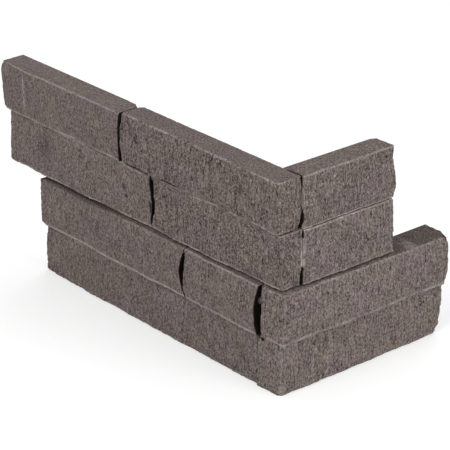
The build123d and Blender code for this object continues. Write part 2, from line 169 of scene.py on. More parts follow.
@dataclass(frozen=True)
class Grain:
    """Seeded smooth noise and cells, worked out for many points at once."""

    seed: int
    layer_shift: float = 31.7
    layer_weight: float = 0.6
    layer_size: float = 0.52
    layer_channels: int = 7

    def lattice(self, cells: np.ndarray, channel: int) -> np.ndarray:
        """Gives each whole-numbered cell a fixed random value.

        Args:
            cells: Cell numbers, three to a row.
            channel: Which of several unrelated values is wanted.

        Returns:
            A value from 0 to 1 for each row.
        """
        whole = cells.astype(np.int64).astype(np.uint32)
        salt = np.uint32((self.seed * SEED_STEP + channel * CHANNEL_STEP + 17) & LARGEST)
        mixed = whole[..., 0] * CELL_STEPS[0] + whole[..., 1] * CELL_STEPS[1]
        mixed = mixed + whole[..., 2] * CELL_STEPS[2] + salt * SALT_STEP
        for shift, step in STIRS:
            mixed = (mixed ^ (mixed >> shift)) * step
        return (mixed ^ (mixed >> LAST_SHIFT)).astype(np.float64) / float(LARGEST)

    def smooth(self, points: np.ndarray, cells: np.ndarray, channel: int) -> np.ndarray:
        """Gives smooth noise at each point.

        Args:
            points: Points in millimetres, three to a row.
            cells: The length of the noise's cells along each axis.
            channel: Which of several unrelated noises is wanted.

        Returns:
            A value from -1 to 1 for each point.
        """
        place = points / cells
        cell = np.floor(place)
        part = place - cell
        fade = part**3 * (part * (part * 6.0 - 15.0) + 10.0)
        total = np.zeros(len(points))
        for corner in np.ndindex(2, 2, 2):
            weight = np.prod(np.where(corner, fade, 1.0 - fade), axis=1)
            total += weight * self.lattice(cell + corner, channel)
        return total * 2.0 - 1.0

    def noise(self, points: np.ndarray, kind: Noise) -> np.ndarray:
        """Adds up the layers of one kind of noise, each about half as large and weaker.

        Args:
            points: Points in millimetres, three to a row.
            kind: The kind of noise.

        Returns:
            A value of about -1 to 1 for each point.
        """
        pattern = kind.value
        total = np.zeros(len(points))
        weight, whole = 1.0, 0.0
        cells = np.asarray(pattern.cell, float)
        for layer in range(pattern.layers):
            channel = pattern.channel + self.layer_channels * layer
            total += weight * self.smooth(points + self.layer_shift * layer, cells, channel)
            whole += weight
            weight *= self.layer_weight
            cells = cells * self.layer_size
        return total / whole

    def nearest(self, points: np.ndarray, kind: Scatter) -> tuple[np.ndarray, np.ndarray]:
        """Finds how far each point is from the nearest scattered spot.

        Args:
            points: Points in millimetres, three to a row.
            kind: The kind of spots.

        Returns:
            The distance in spacings, and a random value of the nearest spot's own.
        """
        spots = kind.value
        place = points * spots.squash / spots.spacing
        cell = np.floor(place)
        best = np.full(len(points), np.inf)
        mark = np.zeros(len(points))
        for step in np.ndindex(3, 3, 3):
            near = cell + np.asarray(step) - 1.0
            spot = np.stack([self.lattice(near, spots.channel + k) for k in range(3)], axis=1)
            far = np.linalg.norm(near + spot - place, axis=1)
            closer = far < best
            best = np.where(closer, far, best)
            mark = np.where(closer, self.lattice(near, spots.channel + 3), mark)
        return best, mark


class Skin:
    """The fine mesh of one piece, held as arrays in millimetres while it is worked."""

    def __init__(self, node: str, voxel: float) -> None:
        """Rebuilds a CAD node's mesh with small even faces.

        Args:
            node: The CAD node.
            voxel: The length of a face's side, in millimetres.
        """
        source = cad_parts[node]
        copy = bpy.data.objects.new(f"{node}.working", source.data.copy())
        bpy.context.scene.collection.objects.link(copy)
        remesh = copy.modifiers.new("even_faces", "REMESH")
        remesh.mode = "VOXEL"
        remesh.voxel_size = voxel * MM
        remesh.adaptivity = 0.0
        graph = bpy.context.evaluated_depsgraph_get()
        self.mesh = bpy.data.meshes.new_from_object(copy.evaluated_get(graph))
        bpy.data.objects.remove(copy)
        self.mesh.materials.clear()
        self.node = node
        self.points = self._read(self.mesh.vertices, "co", 3) / MM
        edges = np.zeros(len(self.mesh.edges) * 2, np.int32)
        self.mesh.edges.foreach_get("vertices", edges)
        self.edges = edges.reshape(-1, 2)
        low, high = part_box(node)
        self.low = np.array(low) / MM
        self.high = np.array(high) / MM

    @staticmethod
    def _read(items: bpy.types.bpy_prop_collection, name: str, width: int) -> np.ndarray:
        """Reads one property of every item into an array.

        Args:
            items: The vertices, edges or normals.
            name: The property.
            width: How many numbers it has.

        Returns:
            The numbers, one row for each item.
        """
        values = np.zeros(len(items) * width, np.float32)
        items.foreach_get(name, values)
        return values.reshape(-1, width).astype(float)

    def normals(self) -> np.ndarray:
        """Gives the outward direction at every vertex."""
        self.write_points()
        return self._read(self.mesh.vertex_normals, "vector", 3)

    def write_points(self) -> None:
        """Puts the worked points back into the mesh."""
        self.mesh.vertices.foreach_set("co", (self.points * MM).astype(np.float32).ravel())
        self.mesh.update()

    def spread(self, values: np.ndarray, rounds: int) -> np.ndarray:
        """Averages values over neighbouring vertices.

        Args:
            values: One value or one row for each vertex.
            rounds: How many times the average is taken.

        Returns:
            The averaged values.
        """
        a, b = self.edges.T
        count = np.bincount(self.edges.ravel(), minlength=len(values)).astype(float)
        columns = values.reshape(len(values), -1)
        for _ in range(rounds):
            summed = [
                np.bincount(a, c[b], len(values)) + np.bincount(b, c[a], len(values))
                for c in columns.T
            ]
            columns = 0.5 * columns + 0.5 * np.stack(summed, axis=1) / count[:, None]
        return columns.reshape(values.shape)

    def convexity(self, rounds: int) -> np.ndarray:
        """Says how far each vertex stands out from the surface around it.

        Args:
            rounds: The reach of that surface, in averaging rounds.

        Returns:
            Millimetres, above 0 on an arris and below 0 in a hollow.
        """
        away = self.points - self.spread(self.points, rounds)
        return np.einsum("ij,ij->i", away, self.normals())

    def push(self, normals: np.ndarray, amount: np.ndarray) -> None:
        """Moves each vertex along its normal, and keeps all of them inside the solid's box."""
        self.points = np.clip(self.points + normals * amount[:, None], self.low, self.high)

    def mark(self, name: str, values: np.ndarray) -> None:
        """Keeps one number for each vertex, for the finish to read."""
        layer = self.mesh.attributes.new(name, "FLOAT", "POINT")
        layer.data.foreach_set("value", values.astype(np.float32))

    def thin(self, plain: np.ndarray, keep: float) -> None:
        """Joins up faces where the surface is plain.

        Args:
            plain: 1 on a vertex that may go, and 0 on one that stays.
            keep: The share of the plain faces that is kept.
        """
        self.write_points()
        work = bpy.data.objects.new(f"{self.node}.thinned", self.mesh)
        bpy.context.scene.collection.objects.link(work)
        group = work.vertex_groups.new(name="plain")
        group.add(np.flatnonzero(plain > 0.5).tolist(), 1.0, "REPLACE")
        decimate = work.modifiers.new("fewer_faces", "DECIMATE")
        decimate.ratio = 1.0 - (1.0 - keep) * float((plain > 0.5).mean())
        decimate.vertex_group = group.name
        graph = bpy.context.evaluated_depsgraph_get()
        self.mesh = bpy.data.meshes.new_from_object(work.evaluated_get(graph))
        bpy.data.objects.remove(work)

    def piece(self, name: str, material: bpy.types.Material) -> bpy.types.Object:
        """Makes the finished object and gives it the CAD node's place.

        Args:
            name: The object's name.
            material: The finish.

        Returns:
            The object, riding on the body and standing for the node.
        """
        self.mesh.shade_smooth()
        self.mesh.name = name
        self.mesh.materials.append(material)
        made = bpy.data.objects.new(name, self.mesh)
        bpy.context.scene.collection.objects.link(made)
        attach(made, BODY)
        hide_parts(self.node)
        return made


Number = Union[float, "Value"]


class Value:
    """A number that changes over a surface: one socket of a shader, open to arithmetic."""

    def __init__(self, shader: "Shader", socket: bpy.types.NodeSocket) -> None:
        """Wraps a socket of a shader."""
        self.shader = shader
        self.socket = socket

    def maths(self, operation: str, *others: Number) -> "Value":
        """Adds a Math node that starts from this value.

        Args:
            operation: The node's operation.
            others: The node's other inputs.

        Returns:
            The node's result.
        """
        return self.shader.maths(operation, self, *others)

    def __add__(self, other: Number) -> "Value":
        """Adds two values."""
        return self.maths("ADD", other)

    def __radd__(self, other: Number) -> "Value":
        """Adds a value to a number."""
        return self.maths("ADD", other)

    def __sub__(self, other: Number) -> "Value":
        """Subtracts from this value."""
        return self.maths("SUBTRACT", other)

    def __rsub__(self, other: Number) -> "Value":
        """Subtracts this value from a number."""
        return self.shader.maths("SUBTRACT", other, self)

    def __mul__(self, other: Number) -> "Value":
        """Multiplies two values."""
        return self.maths("MULTIPLY", other)

    def __rmul__(self, other: Number) -> "Value":
        """Multiplies a number by a value."""
        return self.maths("MULTIPLY", other)

    def __truediv__(self, other: Number) -> "Value":
        """Divides this value."""
        return self.maths("DIVIDE", other)

    def grade(self, low: float, high: float) -> "Value":
        """Rises smoothly from 0 at low to 1 at high.

        Args:
            low: The value where the rise starts.
            high: The value where it ends. It may be less than low, for a fall.

        Returns:
            A share from 0 to 1.
        """
        slope = (self - low) / (high - low)
        share = slope.maths("MAXIMUM", 0.0).maths("MINIMUM", 1.0)
        return share * share * (3.0 - 2.0 * share)


class Shader:
    """The nodes of one material, or of the world."""

    def __init__(self, owner: Union[bpy.types.Material, bpy.types.World]) -> None:
        """Starts with no nodes.

        Args:
            owner: The material or the world.
        """
        self.owner = owner
        self.owner.use_nodes = True
        self.tree = self.owner.node_tree
        self.tree.nodes.clear()

    def node(
        self,
        kind: str,
        settings: Mapping[str, object] | None = None,
        inputs: Mapping[str | int, object] | None = None,
    ) -> bpy.types.Node:
        """Adds one node.

        Args:
            kind: The node's type, without the leading ShaderNode.
            settings: The node's own settings, which are set first.
            inputs: A value, a Value or a socket for each input, by name or number.

        Returns:
            The node.
        """
        made = self.tree.nodes.new(f"ShaderNode{kind}")
        for name, setting in (settings or {}).items():
            setattr(made, name, setting)
        for name, given in (inputs or {}).items():
            if isinstance(given, Value):
                self.tree.links.new(given.socket, made.inputs[name])
            elif isinstance(given, bpy.types.NodeSocket):
                self.tree.links.new(given, made.inputs[name])
            else:
                made.inputs[name].default_value = given
        return made

    def maths(self, operation: str, *values: Number) -> Value:
        """Adds a Math node.

        Args:
            operation: The node's operation.
            values: Its inputs, in order.

        Returns:
            Its result.
        """
        made = self.node("Math", {"operation": operation}, dict(enumerate(values)))
        return Value(self, made.outputs[0])

    def millimetres(self, offset: Point) -> bpy.types.NodeSocket:
        """Gives the place on the object in millimetres, moved by an offset.

        Args:
            offset: What is added to the place, so that stones don't repeat each other.

        Returns:
            A vector socket.
        """
        place = self.node("TexCoord").outputs["Object"]
        scale = (1.0 / MM,) * 3
        inputs = {0: place, 1: scale, 2: offset}
        return self.node("VectorMath", {"operation": "MULTIPLY_ADD"}, inputs).outputs[0]

    def noise(self, place: bpy.types.NodeSocket, size: Point, detail: float = 1.0) -> Value:
        """Adds noise with cells of a given size.

        Args:
            place: The place in millimetres.
            size: The length of a cell along each axis.
            detail: How many finer layers are added.

        Returns:
            A value from 0 to 1, mostly near 0.5.
        """
        scaled = self.node("VectorMath", {"operation": "DIVIDE"}, {0: place, 1: size})
        made = self.node(
            "TexNoise",
            {"noise_dimensions": "3D"},
            {"Vector": scaled.outputs[0], "Scale": 1.0, "Detail": detail, "Roughness": 0.55},
        )
        return Value(self, made.outputs[0])

    def mark(self, name: str) -> Value:
        """Reads a number kept on the mesh."""
        return Value(self, self.node("Attribute", {"attribute_name": name}).outputs["Fac"])

    def mix(self, share: Number, first: object, second: object) -> bpy.types.NodeSocket:
        """Mixes two colours.

        Args:
            share: How much of the second colour shows.
            first: A colour or a colour socket.
            second: A colour or a colour socket.

        Returns:
            A colour socket.
        """
        made = self.node("Mix", {"data_type": "RGBA"})
        for name, given in (("Factor_Float", share), ("A_Color", first), ("B_Color", second)):
            socket = next(s for s in made.inputs if s.identifier == name)
            if isinstance(given, Value):
                self.tree.links.new(given.socket, socket)
            elif isinstance(given, bpy.types.NodeSocket):
                self.tree.links.new(given, socket)
            else:
                socket.default_value = (*given, 1.0) if name != "Factor_Float" else given
        return next(s for s in made.outputs if s.identifier == "Result_Color")

    def tone(self, colour: bpy.types.NodeSocket, strength: Value) -> bpy.types.NodeSocket:
        """Makes a colour lighter or darker.

        Args:
            colour: The colour.
            strength: What it is multiplied by.

        Returns:
            A colour socket.
        """
        inputs = {"Vector": colour, "Scale": strength}
        return self.node("VectorMath", {"operation": "SCALE"}, inputs).outputs[0]

    def surface(
        self,
        colour: bpy.types.NodeSocket,
        roughness: Number,
        height: Value,
        depth: float,
        specular: float,
    ) -> bpy.types.Material:
        """Finishes the material with a rough surface.

        Args:
            colour: The base colour.
            roughness: The roughness.
            height: The fine relief, from 0 to 1.
            depth: The height of that relief, in millimetres.
            specular: The specular level.

        Returns:
            The material.
        """
        relief = {"Strength": 1.0, "Distance": depth * MM, "Height": height}
        looks = {
            "Base Color": colour,
            "Roughness": roughness,
            "Specular IOR Level": specular,
            "Normal": self.node("Bump", inputs=relief).outputs[0],
        }
        shade = self.node("BsdfPrincipled", inputs=looks)
        self.node("OutputMaterial", inputs={"Surface": shade.outputs[0]})
        return self.owner


@dataclass(frozen=True)
class StoneFinish:
    """The colour and the fine grain of one stone. Cells are in millimetres."""

    name: str
    offset: Point
    tint_and_painted_light: float = 1.0
    streak: float = 1.0
    grain: float = 1.0
    cool: Colour = (0.1505, 0.1185, 0.1175)
    warm: Colour = (0.1515, 0.1230, 0.1075)
    # Bare stone, also painted light that lifts the shade of bevels and creases
    bare_and_painted_light: Colour = (0.400, 0.362, 0.342)
    crystal: Colour = (0.400, 0.365, 0.345)
    mica: Colour = (0.030, 0.026, 0.024)
    # Darkened joint walls, and painted shade in furrows, pits, hollows and under overhangs
    joint_dark_and_painted_shade: Colour = (0.0085, 0.0068, 0.0062)
    # Darker ledges: painted shade under the course above, and the return stone's darker open top
    ledge_dark_colour: Colour = (0.088, 0.070, 0.061)
    patch_cell: Point = (26.0, 26.0, 19.0)
    cloud_cell: Point = (11.0, 11.0, 11.0)
    streak_cell: Point = (1.5, 1.5, 10.0)
    grain_cell: Point = (1.2, 1.2, 1.8)
    speck_cell: Point = (0.85, 0.85, 0.9)
    cloud_tone: float = 0.42
    grain_tone: float = 2.35
    streak_tone: float = 1.2
    # Painted shade in the hollows
    hollow_shade_tone: float = 0.42
    # Painted shade on the sawn faces, the tops among them
    sawn_painted_shade: float = 0.10
    sawn_calm: float = 0.15
    darkest: float = 0.15
    wear_and_light_share: float = 0.9
    crystal_share: float = 0.5
    mica_share: float = 0.4
    roughness: float = 0.86
    bump: float = 0.22
    specular: float = 0.10

    def material(self) -> bpy.types.Material:
        """Builds the stone's material: mottled, streaked and speckled, with its marks on top,
        painted shade and painted light among them.

        Returns:
            The material.
        """
        s = Shader(bpy.data.materials.new(self.name))
        place = s.millimetres(self.offset)
        sawn = s.mark("sawn")
        split = 1.0 - sawn
        patch = s.noise(place, self.patch_cell, 2.0).grade(0.36, 0.64)
        cloud = s.noise(place, self.cloud_cell, 2.0) - 0.5
        streak = split * (s.noise(place, self.streak_cell, 1.0) - 0.5)
        grain = s.noise(place, self.grain_cell, 0.6) - 0.5
        speck = s.noise(place, self.speck_cell, 0.0)
        coarse = self.grain * (1.0 - self.sawn_calm * sawn)
        speckle = self.grain_tone * grain + self.streak * self.streak_tone * streak
        tone = 1.0 + self.cloud_tone * cloud + coarse * speckle
        # Painted shade in the hollows and on the sawn faces
        tone = tone - self.hollow_shade_tone * s.mark("hollow_shade") - self.sawn_painted_shade * sawn
        colour = s.mix(patch, self.cool, self.warm)
        # Darker ledges: painted shade under the course above, and the return stone's darker open
        # top
        colour = s.mix(s.mark("ledge_darkening"), colour, self.ledge_dark_colour)
        # Tint of the stone, raised on one stone as painted light
        colour = s.tone(colour, self.tint_and_painted_light * tone.maths("MAXIMUM", self.darkest))
        # Bare colour: rubbed arrises, and painted light that lifts the shade of bevels and creases
        colour = s.mix(self.wear_and_light_share * s.mark("wear_and_painted_light"), colour, self.bare_and_painted_light)
        colour = s.mix(self.crystal_share * coarse * speck.grade(0.64, 0.76), colour, self.crystal)
        colour = s.mix(self.mica_share * coarse * speck.grade(0.36, 0.26), colour, self.mica)
        # Darkened joint walls, and painted shade in recesses and under overhangs
        colour = s.mix(s.mark("joint_dark_and_painted_shade"), colour, self.joint_dark_and_painted_shade)
        height = 0.5 + grain + 0.5 * speck + 0.8 * streak
        return s.surface(colour, self.roughness + 0.2 * grain, height, self.bump, self.specular)


@dataclass(frozen=True)
class ResinFinish:
    """The resin that bonds the stones, dulled by stone dust. Cells are in millimetres."""

    name: str
    body: Colour = (0.0060, 0.0052, 0.0050)
    dust: Colour = (0.56, 0.52, 0.49)
    offset: Point = (3.0, 11.0, 5.0)
    grain_cell: Point = (1.1, 1.1, 2.4)
    dust_cell: Point = (1.0, 1.0, 1.6)
    roughness: float = 0.8
    bump: float = 0.3
    specular: float = 0.10

    def material(self) -> bpy.types.Material:
        """Builds the resin's material, pale where dusty resin is smeared.

        Returns:
            The material.
        """
        s = Shader(bpy.data.materials.new(self.name))
        place = s.millimetres(self.offset)
        grain = s.noise(place, self.grain_cell, 2.0)
        dusty = 0.5 + 0.5 * s.noise(place, self.dust_cell, 0.0).grade(0.36, 0.6)
        colour = s.mix(s.mark("smear") * dusty, self.body, self.dust)
        colour = s.tone(colour, 0.5 + grain)
        return s.surface(colour, self.roughness + 0.2 * grain, grain, self.bump, self.specular)


@dataclass(frozen=True)
class Dent:
    """A local hollow, and a patch on a stone: darkened, mostly with painted shade; spared
    darkening; bare, partly with painted light.

    The patch is full out to core, a share of its reach. Less than 0 deep is a knob.
    """

    centre: Point
    reach: Point
    depth: float = 0.0
    joint_dark_and_painted_shade: float = 0.0
    bare_and_painted_light: float = 0.0
    clean: float = 0.0
    core: float = 0.0

    def share(self, points: np.ndarray) -> np.ndarray:
        """Says how fully the dent takes hold at each point, from 0 to 1."""
        away = (points - np.asarray(self.centre)) / np.asarray(self.reach)
        return smoothstep(1.0, self.core, np.linalg.norm(away, axis=1))


@dataclass(frozen=True)
class Gap:
    """A stretch of an upright joint that stands open at the face, and how it closes at its ends."""

    low: float
    high: float
    low_taper: float = 1.0
    high_taper: float = 1.0


def shut_share(height: np.ndarray, gaps: Sequence[Gap]) -> np.ndarray:
    """Says at which heights an upright joint is shut at the face.

    Args:
        height: The height of each point.
        gaps: The stretches where the joint is open.

    Returns:
        1 where it is shut and 0 where it is open.
    """
    shut = np.ones(len(height))
    for gap in gaps:
        below = smoothstep(gap.low_taper, 0.0, height - gap.low)
        above = smoothstep(gap.high_taper, 0.0, gap.high - height)
        shut = np.minimum(shut, np.maximum(below, above))
    return shut


@dataclass(frozen=True)
class Relief:
    """How far each kind of unevenness moves a stone's surface, and how finely it is worked.

    Rounds say how far around a vertex its surroundings are averaged.
    """

    swell: float = 0.25
    streak: float = 0.40
    grain: float = 0.34
    flake: float = 0.30
    pit: float = 0.6
    pit_share: float = 0.38
    chip: float = 0.75
    nick: float = 1.3
    guard: float = 0.8
    saw: float = 0.05
    saw_centre: Point = (-150.0, 60.0, -190.0)
    saw_step: float = 4.3
    crisp: float = 0.6
    wear: float = 0.62
    arris_rounds: int = 12
    wear_rounds: int = 9
    hollow_rounds: int = 3
    joint_reach: float = 9.0
    voxel: float = 0.55
    plain_keep: float = 0.22


@dataclass(frozen=True)
class Fades:
    """Where each share of a stone's surface fades in: where it starts, and where it is full."""

    bed: Band = (0.80, 0.96)
    back: Band = (0.75, 0.95)
    back_edge: Band = (3.0, 0.5)
    arris: Band = (0.10, 0.40)
    chip: Band = (0.1, 0.8)
    nick: Band = (0.42, 0.75)
    bed_turn: Band = (0.2, 0.5)
    ragged: Band = (-0.6, 0.3)
    wear: Band = (0.16, 0.60)
    hollow_shade: Band = (-0.02, -0.20)
    wall: Band = (0.45, 0.8)
    wall_front: Band = (0.0, 0.8)
    joint: Band = (7.0, 3.0)
    line_front: Band = (5.0, 9.0)
    line_lean: Band = (0.94, 0.78)
    line_turn: Band = (0.20, 0.42)
    line_head: Band = (1.8, 1.2)
    line_kept: Band = (-0.40, 0.25)
    line_dots: Band = (-0.5, 0.2)
    zone: Band = (-0.5, 0.4)
    flake: Band = (0.62, 0.42)
    pit: Band = (0.42, 0.10)
    upper_bed: Band = (0.2, 0.6)
    ledge: Band = (0.6, 0.9)
    fill_front: Band = (2.0, 0.6)


FADES = Fades()


@dataclass
class Stone:
    """One stone: a split face and broken ends, with sawn beds and a sawn back.

    The lines are bare stretches of the front arrises, whole where they run on, and partly painted
    light that lifts the shade along the beds. The lip is how far the face of a bonded end hides the
    darkening of the joint's walls, apart from the gaps. The ledge painted shade darkens the open
    ledge of an upper bed under the course above.
    """

    node: str
    arm: Arm
    seed: int
    streak: float = 1.0
    tint_and_painted_light: float = 1.0
    grain: float = 1.0
    head_line: float = 0.8
    foot_line: float = 0.6
    foot_reach: float = 2.0
    whole: float = 0.1
    nicked: float = 1.0
    ledge_painted_shade: float = 0.0
    bonded: tuple[Bonded, ...] = ()
    lip: float = 0.0
    gaps: tuple[Gap, ...] = ()
    dents: tuple[Dent, ...] = ()
    relief: Relief = field(default_factory=Relief)

    def sawn_share(self, normals: np.ndarray) -> np.ndarray:
        """Says how far each vertex belongs to a bed or to the back.

        Args:
            normals: The outward directions.

        Returns:
            1 on a sawn face and 0 on a split one.
        """
        bed = smoothstep(*FADES.bed, np.abs(normals[:, 2]))
        back = smoothstep(*FADES.back, normals @ np.asarray(self.arm.value))
        return np.maximum(bed, back)

    def build(self) -> bpy.types.Object:
        """Works the stone's surface and dresses it.

        Returns:
            The finished stone.
        """
        grain = Grain(self.seed)
        r = self.relief
        skin = Skin(self.node, r.voxel)
        normals = skin.normals()
        points = skin.points
        sawn = self.sawn_share(normals)
        split = 1.0 - sawn
        arris = smoothstep(*FADES.arris, skin.convexity(r.arris_rounds))
        back = smoothstep(*FADES.back_edge, self.behind(points))
        depth = self._split_depth(grain, points) * split
        depth += self._saw_marks(grain, points) * sawn
        chips = grain.noise(points, Noise.CHIP)
        nicks = grain.noise(points, Noise.NICK)
        guarded = 1.0 - r.guard * np.maximum(back, self.near_joint(points))
        depth -= r.chip * arris * smoothstep(*FADES.chip, chips) * guarded
        depth -= r.nick * arris * smoothstep(*FADES.nick, nicks) * guarded * self.nicked
        depth += r.crisp * arris * back * smoothstep(*FADES.bed_turn, np.abs(normals[:, 2]))
        joint_dark_and_painted_shade = self.joint_darkening(points, normals)
        bare_and_painted_light = self.lines(grain, points, normals)
        ragged = smoothstep(*FADES.ragged, grain.noise(points, Noise.RAGGED))
        for dent in self.dents:
            share = dent.share(points)
            depth -= dent.depth * share
            joint_dark_and_painted_shade = np.maximum(joint_dark_and_painted_shade, dent.joint_dark_and_painted_shade * share) * (1.0 - dent.clean * share)
            bare_and_painted_light = np.maximum(bare_and_painted_light, dent.bare_and_painted_light * share * ragged)
        skin.push(normals, depth)
        # Painted shade in the hollows, where a vertex sinks below its surroundings
        hollow_shade = smoothstep(*FADES.hollow_shade, skin.convexity(r.hollow_rounds))
        rubbed = skin.convexity(r.wear_rounds) * (0.85 + 0.5 * chips)
        wear = r.wear * smoothstep(*FADES.wear, rubbed)
        skin.mark("sawn", sawn)
        skin.mark("hollow_shade", hollow_shade)
        skin.mark("joint_dark_and_painted_shade", joint_dark_and_painted_shade)
        skin.mark("wear_and_painted_light", np.maximum(wear, bare_and_painted_light) * (1.0 - joint_dark_and_painted_shade))
        skin.mark("ledge_darkening", self.ledge_darkening(points, normals))
        skin.thin(sawn * (1.0 - arris), r.plain_keep)
        finish = StoneFinish(
            f"{self.node}_finish",
            offset=(self.seed * 37.0, self.seed * 61.0, self.seed * 23.0),
            tint_and_painted_light=self.tint_and_painted_light,
            streak=self.streak,
            grain=self.grain,
        )
        return skin.piece(f"{self.node}.split", finish.material())

    def behind(self, points: np.ndarray) -> np.ndarray:
        """Says how far each vertex is in front of its arm's back plane."""
        return -(points @ np.asarray(self.arm.value))

    def joint_darkening(self, points: np.ndarray, normals: np.ndarray) -> np.ndarray:
        """Says where the walls of a joint are darkened, beyond the lip.

        Args:
            points: The vertices.
            normals: The outward directions.

        Returns:
            A share from 0 to 1 for each vertex.
        """
        along = points[:, self.along]
        depth = self.behind(points)
        wall = np.zeros(len(points))
        for bond in self.bonded:
            facing = smoothstep(*FADES.wall, bond.value * normals[:, self.along])
            wall += facing * (self.from_end(along, bond) < self.relief.joint_reach)
        first = self.lip * shut_share(points[:, 2], self.gaps)
        return wall * smoothstep(*FADES.wall_front, depth.max() - depth - first)

    @property
    def along(self) -> int:
        """The axis that the stone's arm runs along."""
        return 0 if self.arm is Arm.LONG else 1

    @staticmethod
    def from_end(along: np.ndarray, bond: Bonded) -> np.ndarray:
        """Says how far each place along the arm is from a bonded end."""
        return along - along.min() if bond is Bonded.START else along.max() - along

    def near_joint(self, points: np.ndarray) -> np.ndarray:
        """Says how near each vertex is to a bonded end.

        Args:
            points: The vertices.

        Returns:
            A share from 0 to 1 for each vertex.
        """
        near = np.zeros(len(points))
        for bond in self.bonded:
            away = self.from_end(points[:, self.along], bond)
            near = np.maximum(near, smoothstep(*FADES.joint, away))
        return near

    def lines(self, grain: Grain, points: np.ndarray, normals: np.ndarray) -> np.ndarray:
        """Says where the front arrises along the beds are rubbed bare, and partly painted light
        over their shade.

        Args:
            grain: The stone's noise.
            points: The vertices.
            normals: The outward directions.

        Returns:
            A share from 0 to 1 for each vertex.
        """
        height = points[:, 2]
        lean = np.abs(normals[:, 2])
        front = smoothstep(*FADES.line_front, self.behind(points))
        front *= smoothstep(*FADES.line_lean, lean)
        turned = smoothstep(*FADES.line_turn, lean)
        head = self.head_line * turned * smoothstep(*FADES.line_head, height.max() - height)
        low = smoothstep(self.foot_reach, 0.6 * self.foot_reach, height - height.min())
        foot = self.foot_line * low
        kept = smoothstep(*FADES.line_kept, grain.noise(points, Noise.LINE))
        dotted = smoothstep(*FADES.line_dots, grain.noise(points, Noise.DOT))
        share = self.whole + (1.0 - self.whole) * kept * (0.3 + 0.7 * dotted)
        return front * (head + foot) * share

    def _split_depth(self, grain: Grain, points: np.ndarray) -> np.ndarray:
        """Works out the relief of the split faces.

        Args:
            grain: The stone's noise.
            points: The vertices.

        Returns:
            How far each vertex moves outwards.
        """
        r = self.relief
        swell = grain.noise(points, Noise.SWELL)
        streak = grain.noise(points + 1.5 * swell[:, None], Noise.STREAK)
        zone = smoothstep(*FADES.zone, grain.noise(points, Noise.ZONE))
        fine = grain.noise(points, Noise.FINE)
        far, own = grain.nearest(points, Scatter.FLAKE)
        flake = (own - 0.5) * smoothstep(*FADES.flake, far)
        far, own = grain.nearest(points, Scatter.PIT)
        pit = smoothstep(*FADES.pit, far) * (own > 1.0 - r.pit_share)
        depth = r.swell * swell + self.streak * r.streak * (0.35 + 0.65 * zone) * streak
        return depth + r.grain * fine + r.flake * flake - r.pit * pit

    def _saw_marks(self, grain: Grain, points: np.ndarray) -> np.ndarray:
        """Works out the shallow arcs that the saw left on the beds and the back.

        Args:
            grain: The stone's noise.
            points: The vertices.

        Returns:
            How far each vertex moves outwards.
        """
        r = self.relief
        around = np.linalg.norm(points - np.array(r.saw_centre), axis=1)
        turn = around * (2.0 * math.pi / r.saw_step)
        arcs = np.sin(turn + 2.0 * grain.noise(points, Noise.ARC))
        return r.saw * (0.6 * arcs + 0.8 * grain.noise(points, Noise.SAW) - 0.6)

    def ledge_darkening(self, points: np.ndarray, normals: np.ndarray) -> np.ndarray:
        """Says where painted shade darkens the stone: on its upper bed alone, the ledge under the
        course above.

        Args:
            points: The vertices, not used here.
            normals: The outward directions.

        Returns:
            A share from 0 to 1 for each vertex.
        """
        return self.ledge_painted_shade * smoothstep(*FADES.upper_bed, normals[:, 2])


@dataclass
class LedgeStone(Stone):
    """The return stone whose top shows beyond the course above, darker on that open top.

    The course above covers it to covered. A paler patch beyond, spared the darkening, starts on a
    slant that takes run of the arm's depth, and ends square, both at a ragged edge.
    """

    covered: float = 81.0
    spared_start: float = 91.0
    spared_stop: float = 104.0
    face: float = 24.0
    run: float = 16.0
    edge: float = 1.6
    ragged: float = 1.3

    def ledge_darkening(self, points: np.ndarray, normals: np.ndarray) -> np.ndarray:
        """Darkens the open ledge, apart from a paler patch near the course above.

        Args:
            points: The vertices.
            normals: The outward directions.

        Returns:
            A share from 0 to 1 for each vertex.
        """
        x, y, _ = points.T
        edge, stop = self.edge, self.spared_stop
        top = smoothstep(*FADES.ledge, normals[:, 2])
        place = y + self.ragged * Grain(self.seed).noise(points, Noise.LEDGE)
        slant = self.spared_start + (stop - self.spared_start) * (self.face - x) / self.run
        clean = smoothstep(slant - edge, slant + edge, place)
        clean *= smoothstep(stop + edge, stop - edge, place)
        open_part = smoothstep(self.covered - edge, self.covered + edge, y)
        return top * (1.0 - clean) * open_part


@dataclass
class Resin:
    """One fill of resin, with a lumpy surface, brought flush with the face but for its gaps."""

    node: str
    seed: int
    smear: float = 0.0
    voxel: float = 0.45
    lump: float = 0.25
    sink: float = 0.6
    arm: Arm = Arm.LONG
    flush: float = 0.0
    gaps: tuple[Gap, ...] = ()

    def build(self, material: bpy.types.Material) -> bpy.types.Object:
        """Works the fill's surface and dresses it.

        Args:
            material: The resin's material.

        Returns:
            The finished fill.
        """
        skin = Skin(self.node, self.voxel)
        normals = skin.normals()
        lumps = Grain(self.seed).noise(skin.points, Noise.LUMP)
        skin.push(normals, self.lump * (lumps - self.sink))
        outward = -np.asarray(self.arm.value)
        depth = skin.points @ outward
        front = smoothstep(*FADES.fill_front, depth.max() - depth)
        front *= shut_share(skin.points[:, 2], self.gaps)
        skin.points += outward * (self.flush * front)[:, None]
        skin.write_points()
        skin.mark("smear", np.full(len(skin.points), self.smear))
        return skin.piece(f"{self.node}.cured", material)


@dataclass
class Course:
    """One course and its stones."""

    name: str
    stones: tuple[Stone, ...]

    def build(self) -> None:
        """Builds every stone of the course."""
        for stone in self.stones:
            made = stone.build()
            log.info("%s: %s, %d faces", self.name, made.name, len(made.data.polygons))


